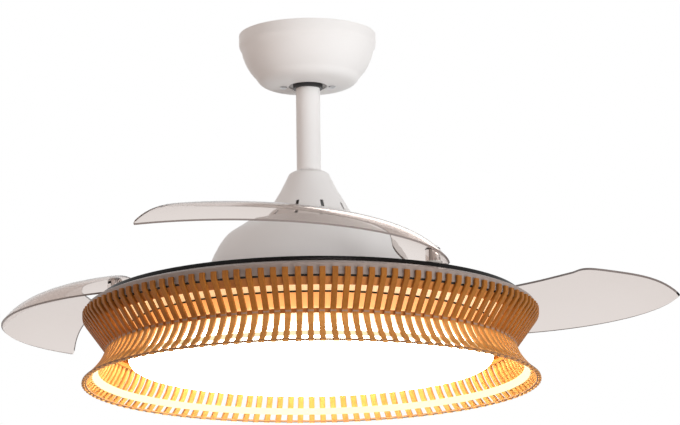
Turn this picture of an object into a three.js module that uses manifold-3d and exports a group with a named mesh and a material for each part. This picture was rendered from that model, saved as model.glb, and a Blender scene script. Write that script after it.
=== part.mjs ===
// Ceiling fan with three folding clear blades, a lit drum and a slatted hourglass shade.
// Millimetres, +Z up. The origin is the middle of the ceiling face. Heights below are measured
// from the tips of the shade's slats, and the whole fan hangs DROP below the ceiling.
import * as THREE from 'three';
import { mergeVertices } from 'three/addons/utils/BufferGeometryUtils.js';
import Module from 'manifold-3d';

const wasm = await Module();
wasm.setup();

// ---------------------------------------------------------------- driving sizes
const DROP = 395;            // ceiling face above the slat tips
const GAP = 0.3;             // clearance between pieces that seat on or pass through each other
const RUNNING = 0.08;        // radial clearance where a piece turns on a pin or shaft

const DRUM_R = 200;          // lit drum
const WAIST_OUT = 25;        // the outside of the shade's waist lies this far outside the drum
const FLARE = 25;            // and the shade's rims this far outside its waist
const WAIST_R = DRUM_R + WAIST_OUT;
const SHADE_R = WAIST_R + FLARE;
const TRAY_IN = 18;          // the black disc the blades fold onto ends inside the shade's rim
const TRAY_R = SHADE_R - TRAY_IN;
const PIVOT_IN = 17;         // blade pivots, in from the disc's rim
const PIVOT_R = TRAY_R - PIVOT_IN;

const TRAY_TOP = 94.5;       // top face of the disc, and its turned-down rim
const TRAY_EDGE = 5;
const ROTOR_R = 74;          // outer-runner rotor, and its height above the disc
const TRAY_HOLE_R = ROTOR_R + 4;
const ROTOR_H = 72.5;
const ROTOR_TOP = TRAY_TOP + ROTOR_H;
const BEARING_R = 25;
const BEARING_H = 8;
const UPPER_BEARING = ROTOR_TOP - BEARING_H - 2;
const LOWER_BEARING = TRAY_TOP + 5.5;
const HOUSING_OVER = 19.4;   // the bell housing rises this far above the rotor
const HOUSING_TOP = ROTOR_TOP + HOUSING_OVER;
const SHAFT_R = 11;          // fixed hollow shaft that carries the lamp through the motor
const SHAFT_BORE_R = 7;

const ROD_R = 13.35;         // 26.7 mm down rod
const ROD_FOOT = 17.6;       // its lower end above the housing
const ROD_BOTTOM = HOUSING_TOP + ROD_FOOT;
const COUPLING_PIN = ROD_BOTTOM + 14;
const SHAFT_TOP = ROD_BOTTOM - 1;
const BALL_R = 24;           // hanger ball, its centre below the ceiling
const BALL_BELOW = 33;
const BALL_Z = DROP - BALL_BELOW;
const BALL_PIN = BALL_Z + 6;
const BALL_GAP = 0.75;       // the ball swings in its seat
const ROD_TOP = BALL_Z + 14;
const CANOPY_R = 76;
const CANOPY_DEPTH = 59;
const CANOPY_HOLE_R = 21;

const BLADE_COUNT = 3;
const PIVOT_AZIMUTH = -52.7; // first pivot, degrees
const BLADE_SPAN = 109.6;    // degrees of the disc's rim that one folded blade covers
const BLADE_ROOT = 4.6;      // degrees from the pivot back to the blade's round root end
const BLADE_OPEN = [48.3, 48.8, 56.5];
const BLADE_T = 2.4;
const BLADE_Z = TRAY_TOP + 2.5; // middle of the blade's outer edge when folded
const HUB_R = 8;
const HUB_H = 19.5;
const HUB_TOP = TRAY_TOP + HUB_H;
const PIN_R = 4;

const PAN_Z = TRAY_TOP - 11.3;  // underside of the pan's top plate
const PAN_DEPTH = 20.7;
const SEAM_Z = PAN_Z - PAN_DEPTH; // black seam between diffuser and pan
const DRUM_BOTTOM = 21;
const RIDGE_OUT = 4.4;       // the trim ring slopes out and down from just outside the disc
const TRIM_RIDGE_R = TRAY_R + RIDGE_OUT;

const SHADE_TOP = PAN_Z - 3.6;
const TAB_Z = SHADE_TOP - 7.1; // above this the slats stand upright against the trim ring
const WAIST_Z = 38;
const SLAT_COUNT = 120;
const SLAT_W = 6.2;
const SLAT_T = 3.6;          // radial thickness
const BANK_COUNT = 10;       // the slats are built in banks on an arc of the waist hoop
const HOOP_T = 1.6;
const RIM_OUT = 1.6;         // flat rim ring that the slats stand on
const RIM_H = 3.4;
const RING_SEGMENTS = 36;    // facets of the widest rings, which nest in each other

// ---------------------------------------------------------------- materials
const mat = (color, roughness, metalness = 0, extra = {}) =>
  new THREE.MeshStandardMaterial({ color, roughness, metalness, ...extra });
const white = mat(0xf1efec, 0.42);
const steel = mat(0xb9bcc0, 0.35, 1);
const zinc = mat(0x9fa3a6, 0.45, 1);
const black = mat(0x0c0c0d, 0.25);
const clear = mat(0xe3dedb, 0.08, 0, { transparent: true, opacity: 0.45 });
const wood = mat(0xb4713f, 0.6);
const cream = mat(0xe9d6ae, 0.6);
const glow = mat(0xfff3cf, 0.5, 0, { emissive: 0xffd27a });
const aluminium = mat(0xcfd2d4, 0.4, 1);
const copper = mat(0xb5642d, 0.4, 1);
const darkSteel = mat(0x4a4c50, 0.5, 1);
const rubber = mat(0x141414, 0.8);
const boardWhite = mat(0xf5f5f0, 0.5);
const greyPlastic = mat(0xdadada, 0.5);

// ---------------------------------------------------------------- shape helpers
const rad = (deg) => deg * Math.PI / 180;
const v2 = (pairs) => pairs.map(([x, y]) => new THREE.Vector2(x, y));

// A ring or disc turned about Z from a closed outline of [radius, height] pairs.
function turned(outline, segments = 28) {
  const pts = v2([...outline, outline[0]]);
  const g = new THREE.LatheGeometry(pts, segments);
  g.rotateX(Math.PI / 2);
  return solid(g);
}
// A plate cut from a flat shape and raised by depth.
function plate(shape, z, depth) {
  const g = new THREE.ExtrudeGeometry(shape, { depth, bevelEnabled: false, curveSegments: 8 });
  g.translate(0, 0, z);
  return solid(g);
}
function box(x, y, z, sx, sy, sz) {
  const g = new THREE.BoxGeometry(sx, sy, sz);
  g.translate(x, y, z);
  return solid(g);
}
function rod(r, z0, z1, x = 0, y = 0, segments = 24) {
  const g = new THREE.CylinderGeometry(r, r, z1 - z0, segments);
  g.rotateX(Math.PI / 2);
  g.translate(x, y, (z0 + z1) / 2);
  return solid(g);
}
function crossRod(r, length, z, segments = 10) {
  const g = new THREE.CylinderGeometry(r, r, length, segments);
  g.translate(0, 0, z);
  return solid(g);
}
// Closed geometry to a solid; faces are turned outward if the outline ran the other way.
function solid(geometry) {
  let g = geometry.clone();
  g.deleteAttribute('normal');
  g.deleteAttribute('uv');
  g = mergeVertices(g, 1e-4);
  const index = [];
  const p = g.attributes.position;
  const a = new THREE.Vector3(), b = new THREE.Vector3(), c = new THREE.Vector3();
  let volume = 0;
  for (let i = 0; i < g.index.count; i += 3) {
    const [i0, i1, i2] = [g.index.getX(i), g.index.getX(i + 1), g.index.getX(i + 2)];
    if (i0 === i1 || i1 === i2 || i2 === i0) continue;
    a.fromBufferAttribute(p, i0); b.fromBufferAttribute(p, i1); c.fromBufferAttribute(p, i2);
    volume += a.dot(b.cross(c));
    index.push(i0, i1, i2);
  }
  if (volume < 0) for (let i = 0; i < index.length; i += 3) {
    [index[i + 1], index[i + 2]] = [index[i + 2], index[i + 1]];
  }
  return new wasm.Manifold(new wasm.Mesh({
    numProp: 3, vertProperties: new Float32Array(p.array), triVerts: new Uint32Array(index),
  }));
}
function geometryOf(manifold) {
  const m = manifold.getMesh();
  let g = new THREE.BufferGeometry();
  const xyz = new Float32Array(m.numVert * 3);
  for (let i = 0; i < m.numVert; i++) {
    for (let k = 0; k < 3; k++) xyz[3 * i + k] = m.vertProperties[i * m.numProp + k];
  }
  g.setAttribute('position', new THREE.BufferAttribute(xyz, 3));
  g.setIndex(new THREE.BufferAttribute(new Uint32Array(m.triVerts), 1));
  g = mergeVertices(g, 1e-5);
  g.computeVertexNormals();
  return g;
}

const group = new THREE.Group();
const hung = new THREE.Group();      // everything, lowered from the ceiling face
hung.position.z = -DROP;
group.add(hung);
function add(name, shape, material, parent = hung) {
  const mesh = new THREE.Mesh(geometryOf(shape), material);
  mesh.name = name;
  parent.add(mesh);
  return mesh;
}

// ---------------------------------------------------------------- ceiling side
// Strap plate against the ceiling, two legs, and a seat ring hollowed to the ball.
{
  const seatTop = BALL_Z - 8, seatBottom = BALL_Z - 16;
  const seat = turned([[16, seatBottom], [34, seatBottom], [34, seatTop], [16, seatTop]]);
  const ballSpace = new THREE.SphereGeometry(BALL_R + BALL_GAP, 18, 9);
  ballSpace.translate(0, 0, BALL_Z);
  let bracket = box(0, 0, DROP - 1, 124, 36, 2)
    .add(box(-32, 0, (DROP - 1 + seatBottom) / 2, 2.5, 30, DROP - 1 - seatBottom))
    .add(box(32, 0, (DROP - 1 + seatBottom) / 2, 2.5, 30, DROP - 1 - seatBottom))
    .add(seat)
    .subtract(solid(ballSpace))
    .subtract(rod(2.6, DROP - 4, DROP + 1, 50, 0, 20))
    .subtract(rod(2.6, DROP - 4, DROP + 1, -50, 0, 20));
  for (const x of [-27, 27]) bracket = bracket.subtract(rod(2 + GAP, seatBottom - 1, seatTop + 1, x, 0, 12));
  add('ceiling_bracket', bracket, zinc);

  // Bowl-shaped cover with its opening round the rod and two screw holes.
  const t = 1.6, rim = DROP - 0.5, floor = DROP - CANOPY_DEPTH;
  const wall = [[CANOPY_R, rim], [CANOPY_R, floor + 43.4], [73, floor + 42], [71.6, floor + 35],
    [61, floor + 14], [56.4, floor + 10.6], [51.4, floor + 2.6], [46.6, floor],
    [CANOPY_HOLE_R, floor]];
  const inner = [[CANOPY_HOLE_R, floor + t], [46, floor + t], [59.4, floor + 15.4],
    [70, floor + 36], [71, floor + 43.6], [CANOPY_R - t, floor + 45], [CANOPY_R - t, rim]];
  let canopy = turned([...wall, ...inner], 24);
  for (const x of [-27, 27]) canopy = canopy.subtract(rod(2 + GAP, floor - 2, floor + 4, x, 0, 10));
  add('canopy', canopy, white);
  for (const [i, x] of [-27, 27].entries()) {
    const screw = turned([[0, floor - 2.4], [2.6, floor - 2.2], [3.8, floor - 1.4],
      [3.8, floor - GAP], [2, floor - GAP], [2, seatTop - 1], [0, seatTop - 1]], 10)
      .translate([x, 0, 0]).subtract(box(x, 0, floor - 2.4, 0.9, 5.4, 1.4));
    add(`canopy_screw_${i + 1}`, screw, steel);
  }

  const ball = new THREE.SphereGeometry(BALL_R, 18, 9);
  ball.translate(0, 0, BALL_Z);
  add('hanger_ball', solid(ball)
    .subtract(box(0, 0, BALL_Z + 40, 80, 80, 52))
    .subtract(box(0, 0, BALL_Z - 42, 80, 80, 52))
    .subtract(rod(ROD_R + GAP, BALL_Z - 40, BALL_Z + 40, 0, 0, 20))
    .subtract(crossRod(3 + GAP, 80, BALL_PIN)), black);
  add('ball_pin', crossRod(3, 42, BALL_PIN), steel);
  add('remote_receiver', box(52, 0, DROP - 2 - GAP - 7, 15, 44, 14), greyPlastic);
}

// ---------------------------------------------------------------- down rod and its coupling
{
  const tube = turned([[ROD_R - 2.3, ROD_BOTTOM], [ROD_R, ROD_BOTTOM], [ROD_R, ROD_TOP],
    [ROD_R - 2.3, ROD_TOP]], 16)
    .subtract(crossRod(3 + GAP, 80, BALL_PIN))
    .subtract(crossRod(2 + GAP, 80, COUPLING_PIN));
  add('down_rod', tube, white);
  const cable = new THREE.ExtrudeGeometry(new THREE.Shape().absarc(0, 0, 2.2, 0, 2 * Math.PI),
    { extrudePath: new THREE.LineCurve3(new THREE.Vector3(-5.65, 0, ROD_TOP),
      new THREE.Vector3(-3.8, 0, PAN_Z - 13.2)), steps: 1, bevelEnabled: false, curveSegments: 6 });
  add('supply_cable', solid(cable), greyPlastic);

  // Flanged socket that holds the rod on top of the motor, and the pin through both.
  add('rod_coupling', turned([[SHAFT_R + GAP, HOUSING_TOP + GAP], [24, HOUSING_TOP + GAP],
    [24, HOUSING_TOP + 5],
    [17.5, HOUSING_TOP + 6.4], [17.5, COUPLING_PIN + 10], [ROD_R + GAP, COUPLING_PIN + 10],
    [ROD_R + GAP, ROD_BOTTOM - 0.5], [SHAFT_R + GAP, ROD_BOTTOM - 0.5]], 16)
    .subtract(crossRod(2 + GAP, 80, COUPLING_PIN)), darkSteel);
  add('coupling_pin', crossRod(2, 39, COUPLING_PIN), steel);

  // Conical cover over the coupling, with a row of vent slots above its lower edge.
  const seat = HOUSING_TOP + GAP;
  let cover = turned([[47.4, seat], [46.9, seat + 3], [39.8, seat + 15.9], [31.6, seat + 29.3],
    [22.8, seat + 47.3], [18.2, seat + 50.9], [ROD_R + GAP, seat + 51.9], [ROD_R + GAP, seat + 50.1],
    [17, seat + 49.3], [21.3, seat + 46.3], [30, seat + 28.7], [45.6, seat]], 24);
  const slots = 10;
  for (let i = 0; i < slots; i++) {
    const slot = box(44, 0, seat + 7, 12, 3.6, 8.4).rotate([0, 0, -71.5 + i * 360 / slots]);
    cover = cover.subtract(slot);
  }
  add('rod_cover', cover, white);
}

// ---------------------------------------------------------------- motor
// Bell housing, about 2 mm thick, open at the bottom above the blade disc.
{
  const foot = TRAY_TOP + 3.5;
  const below = (pairs) => pairs.map(([r, drop]) => [r, HOUSING_TOP - drop]);
  const wide = (pairs) => pairs.map(([past, drop]) => [ROTOR_R + past, HOUSING_TOP - drop]);
  const outer = [[ROTOR_R + 44.6, foot], [ROTOR_R + 44, foot + 6], ...wide([[36.4, 54], [27, 34.1],
    [20.8, 24.8], [13, 18.2], [-3, 7.8], [-14, 2.2]]), [51, HOUSING_TOP]];
  const inner = [[50, HOUSING_TOP - 2], ...wide([[-4, 9.8], [11.6, 19.8], [24.6, 34.2]]),
    [ROTOR_R + 42.2, foot]];
  const bore = SHAFT_R + GAP + 1;
  let housing = turned([...outer, [bore, HOUSING_TOP], [bore, HOUSING_TOP - 2], ...inner], 28);
  let collar = turned([...below([[SHAFT_R + GAP, 13.4], [20, 13.4], [40, 9.4], [40, 2 + GAP],
    [SHAFT_R + GAP, 2 + GAP]])], 16);
  for (let i = 0; i < 3; i++) {
    const [x, y] = [31 * Math.cos(rad(30 + 120 * i)), 31 * Math.sin(rad(30 + 120 * i))];
    const hole = rod(2 + GAP, HOUSING_TOP - 16, HOUSING_TOP + 4, x, y, 10);
    housing = housing.subtract(hole);
    collar = collar.subtract(hole);
    const head = HOUSING_TOP + GAP;
    add(`collar_screw_${i + 1}`, turned([[0, head - 8.7], [2, head - 8.7], [2, head],
      [3.6, head], [3.6, head + 1.6], [2.4, head + 2.4], [0, head + 2.4]], 8).translate([x, y, 0]), steel);
  }
  add('motor_housing', housing, white);
  add('motor_collar', collar, darkSteel);

  const shaftEnd = PAN_Z - 17.2;
  add('hollow_shaft', turned([[SHAFT_BORE_R, shaftEnd], [SHAFT_R, shaftEnd], [SHAFT_R, SHAFT_TOP],
    [SHAFT_BORE_R, SHAFT_TOP]], 16), steel);
  const hex = new THREE.Shape(Array.from({ length: 6 }, (_, i) =>
    new THREE.Vector2(19 * Math.cos(rad(60 * i)), 19 * Math.sin(rad(60 * i)))));
  hex.holes.push(new THREE.Path().absarc(0, 0, SHAFT_R + GAP, 0, 2 * Math.PI));
  add('shaft_nut', plate(hex, PAN_Z - GAP - 8, 8), zinc);

  // Twelve-pole stator on the shaft, its winding ring, and the two bearings.
  const core = new THREE.Shape();
  const poles = 12, tip = ROTOR_R - 8.8, neck = tip - 8.2, root = ROTOR_R - 38;
  for (let i = 0; i < poles; i++) {
    const mid = rad(i * 360 / poles);
    const corner = (r, half) => [r * Math.cos(mid + rad(half)), r * Math.sin(mid + rad(half))];
    const ring = [corner(root, -7), corner(neck, -4.4), corner(neck + 2, -11.5), corner(tip, -11.5),
      corner(tip, 11.5), corner(neck + 2, 11.5), corner(neck, 4.4), corner(root, 7)];
    for (const [k, [x, y]] of ring.entries()) {
      if (i === 0 && k === 0) core.moveTo(x, y); else core.lineTo(x, y);
    }
  }
  core.closePath();
  core.holes.push(new THREE.Path().absarc(0, 0, SHAFT_R + GAP, 0, 2 * Math.PI));
  const coreZ = TRAY_TOP + 27.5, coreTop = UPPER_BEARING - 1;
  add('stator_core', plate(core, coreZ, coreTop - coreZ), darkSteel);
  const coil = coreTop + GAP;
  add('stator_windings', turned([[root + 6, coil], [neck - 1, coil], [neck, coil + 2.7],
    [neck - 3, coil + 5.7], [root + 8, coil + 5.7]], 16), copper);
  const race = (z) => turned([[SHAFT_R + GAP, z], [18, z + 0.6], [BEARING_R, z],
    [BEARING_R, z + BEARING_H], [SHAFT_R + GAP, z + BEARING_H]], 16);
  add('upper_bearing', race(UPPER_BEARING), steel);
  add('lower_bearing', race(LOWER_BEARING), steel);
}

// ---------------------------------------------------------------- rotor and blade disc
{
  const b = BEARING_R + 2 * GAP; // the seats turn round the bearings and run free of their corners
  const flangeZ = TRAY_TOP + GAP;
  const screwR = ROTOR_R + 9, flangeR = screwR + 5;
  let shell = turned([[b, UPPER_BEARING], [b + 3, UPPER_BEARING], [b + 3, ROTOR_TOP - 2.6],
    [ROTOR_R - 2.5, ROTOR_TOP - 2.6],
    [ROTOR_R - 2.5, flangeZ], [flangeR, flangeZ], [flangeR, flangeZ + 2.5], [ROTOR_R, flangeZ + 2.5],
    [ROTOR_R, ROTOR_TOP], [b, ROTOR_TOP]], 16);
  let tray = turned([[TRAY_HOLE_R, TRAY_TOP - 2], [TRAY_R - 4, TRAY_TOP - 2],
    [TRAY_R - 4, TRAY_TOP - TRAY_EDGE], [TRAY_R, TRAY_TOP - TRAY_EDGE], [TRAY_R, TRAY_TOP - 0.6],
    [TRAY_R - 0.6, TRAY_TOP], [TRAY_HOLE_R, TRAY_TOP]], RING_SEGMENTS);
  for (let i = 0; i < 3; i++) {
    const a = rad(PIVOT_AZIMUTH + 60 + 120 * i);
    const [x, y] = [screwR * Math.cos(a), screwR * Math.sin(a)];
    const hole = rod(2 + GAP, TRAY_TOP - 10, TRAY_TOP + 10, x, y, 8);
    shell = shell.subtract(hole);
    tray = tray.subtract(hole);
    const head = flangeZ + 2.5 + GAP;
    add(`tray_screw_${i + 1}`, turned([[0, TRAY_TOP - 4.5], [2, TRAY_TOP - 4.5], [2, head],
      [3.8, head], [3.8, head + 1.4], [2.4, head + 2.4], [0, head + 2.4]], 8)
      .translate([x, y, 0]), steel);
  }
  add('rotor_shell', shell, darkSteel);
  const magnetZ = TRAY_TOP + 23.5, magnetTop = ROTOR_TOP - 7, plateZ = TRAY_TOP + 2.5;
  add('magnet_ring', turned([[ROTOR_R - 6.9, magnetZ], [ROTOR_R - 2.8, magnetZ],
    [ROTOR_R - 2.8, magnetTop], [ROTOR_R - 6.9, magnetTop]], 16), darkSteel);
  add('rotor_end_plate', turned([[b, plateZ], [ROTOR_R - 2.8, plateZ], [ROTOR_R - 2.8, plateZ + 2.4],
    [b + 3, plateZ + 2.4], [b + 3, LOWER_BEARING + BEARING_H], [b, LOWER_BEARING + BEARING_H]], 16),
  darkSteel);
  for (let i = 0; i < BLADE_COUNT; i++) {
    const a = rad(PIVOT_AZIMUTH + 120 * i);
    const [x, y] = [PIVOT_R * Math.cos(a), PIVOT_R * Math.sin(a)];
    tray = tray.subtract(rod(PIN_R + GAP, TRAY_TOP - 10, TRAY_TOP + 10, x, y, 12));
  }
  add('blade_tray', tray, black);
}

// ---------------------------------------------------------------- folding blades
// Each blade is drawn as it lies folded along the disc's rim: a = angle back from its pivot,
// s = distance inward from the rim. It rises steeply from its outer edge, then levels off, and
// comes down to the disc at its root end.
function bladeHeight(a, s) {
  const fromRoot = (a + rad(BLADE_ROOT)) * TRAY_R;
  return BLADE_Z + 0.008 * a * TRAY_R
    + (0.181 * s + 22 * (1 - Math.exp(-s / 19.5))) * (1 - Math.exp(-fromRoot / 14));
}
function bladeSolid() {
  const span = rad(BLADE_SPAN);
  const width = new THREE.SplineCurve(v2([[0, 60], [0.2, 64], [0.4, 84], [0.6, 93], [0.75, 93.5],
    [0.86, 88], [0.93, 51.5], [1, 3]])).getPoints(15);
  const stations = [];
  for (const e of [-0.99, -0.9, -0.6]) {
    const k = Math.sqrt(1 - e * e);
    stations.push({ a: e * rad(BLADE_ROOT), s0: 24 * (1 - k), s1: 24 + 36 * k });
  }
  for (const p of width) stations.push({ a: p.x * span, s0: 0, s1: p.y });
  const across = 4;
  const pos = [], idx = [];
  const at = (i, j, top) => 2 * (i * (across + 1) + j) + (top ? 1 : 0);
  for (const { a, s0, s1 } of stations) {
    for (let j = 0; j <= across; j++) {
      const u = j / across;
      const s = s0 + (s1 - s0) * u * (0.45 + 0.55 * u);
      const slope = (bladeHeight(a, s + 0.01) - bladeHeight(a, s)) / 0.01;
      const n = Math.hypot(slope, 1);
      for (const side of [-1, 1]) {
        const r = TRAY_R - s + side * slope / n * BLADE_T / 2;
        const z = bladeHeight(a, s) + side / n * BLADE_T / 2;
        pos.push(r * Math.cos(-a) - PIVOT_R, r * Math.sin(-a), z);
      }
    }
  }
  const quad = (p, q, r, s) => idx.push(p, q, r, p, r, s);
  const last = stations.length - 1;
  for (let i = 0; i < last; i++) {
    for (let j = 0; j < across; j++) {
      quad(at(i, j, true), at(i + 1, j, true), at(i + 1, j + 1, true), at(i, j + 1, true));
      quad(at(i, j, false), at(i, j + 1, false), at(i + 1, j + 1, false), at(i + 1, j, false));
    }
    quad(at(i, 0, false), at(i + 1, 0, false), at(i + 1, 0, true), at(i, 0, true));
    quad(at(i, across, false), at(i, across, true), at(i + 1, across, true), at(i + 1, across, false));
  }
  for (let j = 0; j < across; j++) {
    quad(at(0, j, false), at(0, j, true), at(0, j + 1, true), at(0, j + 1, false));
    quad(at(last, j, false), at(last, j + 1, false), at(last, j + 1, true), at(last, j, true));
  }
  const g = new THREE.BufferGeometry();
  g.setAttribute('position', new THREE.BufferAttribute(new Float32Array(pos), 3));
  g.setIndex(idx);
  return solid(g)
    .add(rod(HUB_R, TRAY_TOP + 0.8, HUB_TOP, 0, 0, 14))
    .subtract(rod(PIN_R + RUNNING, TRAY_TOP - 5, HUB_TOP + 10, 0, 0, 16));
}
class Coil extends THREE.Curve {
  getPoint(t, target = new THREE.Vector3()) {
    const turns = 2.25, r = HUB_R + 1.7;
    const w = 2 * Math.PI * turns * t;
    return target.set(r * Math.cos(w), r * Math.sin(w), TRAY_TOP + 1.5 + 3.2 * t);
  }
}
{
  const blade = bladeSolid();
  const pin = turned([[0, TRAY_TOP - 5.5], [PIN_R, TRAY_TOP - 5.5], [PIN_R, HUB_TOP + GAP],
    [6.4, HUB_TOP + GAP], [6.4, HUB_TOP + 1.6], [5.2, HUB_TOP + 2.4], [0, HUB_TOP + 2.4]], 16);
  const spring = solid(new THREE.ExtrudeGeometry(
    new THREE.Shape().absarc(0, 0, 0.75, 0, 2 * Math.PI),
    { extrudePath: new Coil(), steps: 22, bevelEnabled: false, curveSegments: 2 }));
  for (let i = 0; i < BLADE_COUNT; i++) {
    const a = PIVOT_AZIMUTH + 120 * i;
    const pivot = new THREE.Group();
    pivot.position.set(PIVOT_R * Math.cos(rad(a)), PIVOT_R * Math.sin(rad(a)), 0);
    pivot.rotation.z = rad(a);
    hung.add(pivot);
    add(`blade_${i + 1}`, blade, clear, pivot).rotation.z = rad(BLADE_OPEN[i]);
    add(`blade_pivot_${i + 1}`, pin, steel, pivot);
    add(`return_spring_${i + 1}`, spring, steel, pivot);
  }
}

// ---------------------------------------------------------------- lamp
{
  const panR = DRUM_R;
  add('light_pan', turned([[SHAFT_R + GAP, PAN_Z], [panR - 1.5, PAN_Z], [panR - 1.5, SEAM_Z + 2],
    [panR, SEAM_Z + 2], [panR, PAN_Z], [panR + 14, PAN_Z], [panR + 14, PAN_Z + 1.5],
    [SHAFT_R + GAP, PAN_Z + 1.5]], 24), white);
  const bandR = SHADE_R - SLAT_T - GAP;
  const cupR = panR - 10, edgeR = cupR - 1.6;
  add('trim_ring', turned([[panR + 5, PAN_Z + 1.8], [TRIM_RIDGE_R, PAN_Z + 3.8],
    [bandR - 1.6, PAN_Z + 0.4], [bandR - 1.6, TAB_Z], [bandR, TAB_Z], [bandR, PAN_Z + 1.6],
    [TRIM_RIDGE_R, PAN_Z + 5.6], [panR + 5, PAN_Z + 3.4]], RING_SEGMENTS), white);
  add('seam_gasket', turned([[panR - 3.4, SEAM_Z], [panR + 0.4, SEAM_Z], [panR + 0.4, SEAM_Z + 1.7],
    [panR - 3.4, SEAM_Z + 1.7]], 28), rubber);
  const z = DRUM_BOTTOM;
  add('diffuser', turned([[0, z], [cupR, z], [panR - 3.4, z + 2.2], [panR, z + 9], [panR, SEAM_Z - GAP],
    [panR - 2, SEAM_Z - GAP], [panR - 2, z + 9.6], [panR - 4.6, z + 4],
    [cupR - 0.6, z + 2], [0, z + 2]], 28), glow);
  const carrierZ = SEAM_Z - 1.5, carrierTop = carrierZ + 1.6;
  add('led_carrier', turned([[40, carrierZ], [edgeR, carrierZ], [cupR, carrierTop],
    [cupR, PAN_Z - GAP], [edgeR, PAN_Z - GAP], [edgeR, carrierTop], [40, carrierTop]], 20), aluminium);
  const boardTop = carrierZ - GAP;
  add('led_board', turned([[50, boardTop - 1.6], [cupR - 6, boardTop - 1.6], [cupR - 6, boardTop],
    [50, boardTop]], 20), boardWhite);
  const driverH = 18;
  add('led_driver', box(cupR - 85, 0, carrierTop + 0.8 + driverH / 2, 110, 46, driverH), greyPlastic);
}

// ---------------------------------------------------------------- slatted shade
{
  // One slat from the side: an upright tab, straight down to the waist, then bowed outward to the
  // rim ring.
  const outer = [[SHADE_R, SHADE_TOP], [SHADE_R, TAB_Z], [WAIST_R, WAIST_Z],
    [WAIST_R + 11, WAIST_Z - 21], [SHADE_R - 1, RIM_H + GAP]];
  const inner = outer.map(([r, z]) => [r - SLAT_T, z]).reverse();
  // The hoops are cones that lie along the slats' inner faces.
  const faceR = (z) => {
    const k = outer.findIndex(([, h]) => h <= z);
    const [[r0, z0], [r1, z1]] = [outer[k - 1], outer[k]];
    return r0 + (r1 - r0) * (z0 - z) / (z0 - z1) - SLAT_T - GAP;
  };
  const cone = (name, low, high, material) => add(name, turned([[faceR(low), low],
    [faceR(high), high], [faceR(high) - HOOP_T, high], [faceR(low) - HOOP_T, low]],
  RING_SEGMENTS), material);
  cone('shade_top_hoop', TAB_Z - 9.9, TAB_Z - 2.3, wood);
  cone('shade_bottom_hoop', 8.6, 14.8, cream);
  const rimR = SHADE_R + RIM_OUT;
  add('shade_rim', turned([[SHADE_R - 4, 0], [rimR, 0], [rimR, RIM_H], [SHADE_R - 4, RIM_H]],
    RING_SEGMENTS), wood);

  const profile = new THREE.Shape(v2([...outer, ...inner]));
  const g = new THREE.ExtrudeGeometry(profile, { depth: SLAT_W, bevelEnabled: false });
  g.translate(0, 0, -SLAT_W / 2);
  g.rotateX(Math.PI / 2);
  const slat = solid(g);

  const perBank = SLAT_COUNT / BANK_COUNT, pitch = 360 / SLAT_COUNT;
  const arcOuter = WAIST_R - SLAT_T + 0.8, arcInner = arcOuter - 2.4;
  const half = rad(perBank * pitch / 2 - 0.12);
  const arc = new THREE.Shape();
  arc.absarc(0, 0, arcOuter, -half, half, false);
  arc.absarc(0, 0, arcInner, half, -half, true);
  const waist = new THREE.ExtrudeGeometry(arc,
    { depth: 4.8, bevelEnabled: false, curveSegments: 3 });
  waist.translate(0, 0, WAIST_Z - 2);
  const bank = wasm.Manifold.union([solid(waist), ...Array.from({ length: perBank }, (_, i) =>
    slat.rotate([0, 0, (i - (perBank - 1) / 2) * pitch]))]);
  for (let i = 0; i < BANK_COUNT; i++) {
    add(`slat_bank_${i + 1}`, bank.rotate([0, 0, -90 + pitch / 2 + i * 360 / BANK_COUNT]), wood);
  }
}

export default group;
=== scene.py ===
import math
import bmesh
import bpy
from mathutils import Matrix, Vector


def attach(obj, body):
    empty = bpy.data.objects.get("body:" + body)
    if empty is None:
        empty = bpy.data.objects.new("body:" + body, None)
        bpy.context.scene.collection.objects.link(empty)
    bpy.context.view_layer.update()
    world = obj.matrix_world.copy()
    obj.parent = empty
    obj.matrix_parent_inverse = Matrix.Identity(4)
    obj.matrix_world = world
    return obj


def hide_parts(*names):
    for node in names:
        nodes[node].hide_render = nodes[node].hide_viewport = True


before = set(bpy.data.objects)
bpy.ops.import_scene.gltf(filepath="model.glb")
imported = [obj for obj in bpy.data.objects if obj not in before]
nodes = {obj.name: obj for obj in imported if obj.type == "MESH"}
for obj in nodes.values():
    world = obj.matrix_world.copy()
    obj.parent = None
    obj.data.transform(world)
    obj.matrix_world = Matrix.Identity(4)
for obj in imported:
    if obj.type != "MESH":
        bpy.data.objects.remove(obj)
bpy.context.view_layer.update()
scene = bpy.context.scene
scene.view_settings.view_transform = "Standard"

# ------------------------------------------------------------------ view, room and light
# The fan hangs in a pale studio. The camera stands low in front and looks up by some 13 degrees,
# rolled a little, as in the photograph. Heights are millimetres above the tips of the slats.
DROP = 395.0


def up(height):
    return (height - DROP) / 1000.0


camera_data = bpy.data.cameras.new("camera")
camera_data.sensor_width = 36.0
camera_data.lens = 226.31
camera_data.shift_x = 0.045
camera_data.clip_end = 50.0
camera = bpy.data.objects.new("camera", camera_data)
scene.collection.objects.link(camera)
camera.matrix_world = (Matrix.Translation((0.0, -4.6, up(-839.7)))
                       @ Matrix.Rotation(math.radians(102.65), 4, "X")
                       @ Matrix.Rotation(math.radians(-0.7), 4, "Z"))
scene.camera = camera

def seen_of_studio(tree):
    """1 for rays that show the studio itself: seen straight, mirrored or through the blades."""
    path = tree.nodes.new("ShaderNodeLightPath")
    value = path.outputs["Is Camera Ray"]
    for kind in ("Is Glossy Ray", "Is Transmission Ray"):
        larger = tree.nodes.new("ShaderNodeMath")
        larger.operation = "MAXIMUM"
        tree.links.new(value, larger.inputs[0])
        tree.links.new(path.outputs[kind], larger.inputs[1])
        value = larger.outputs[0]
    return value


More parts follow.
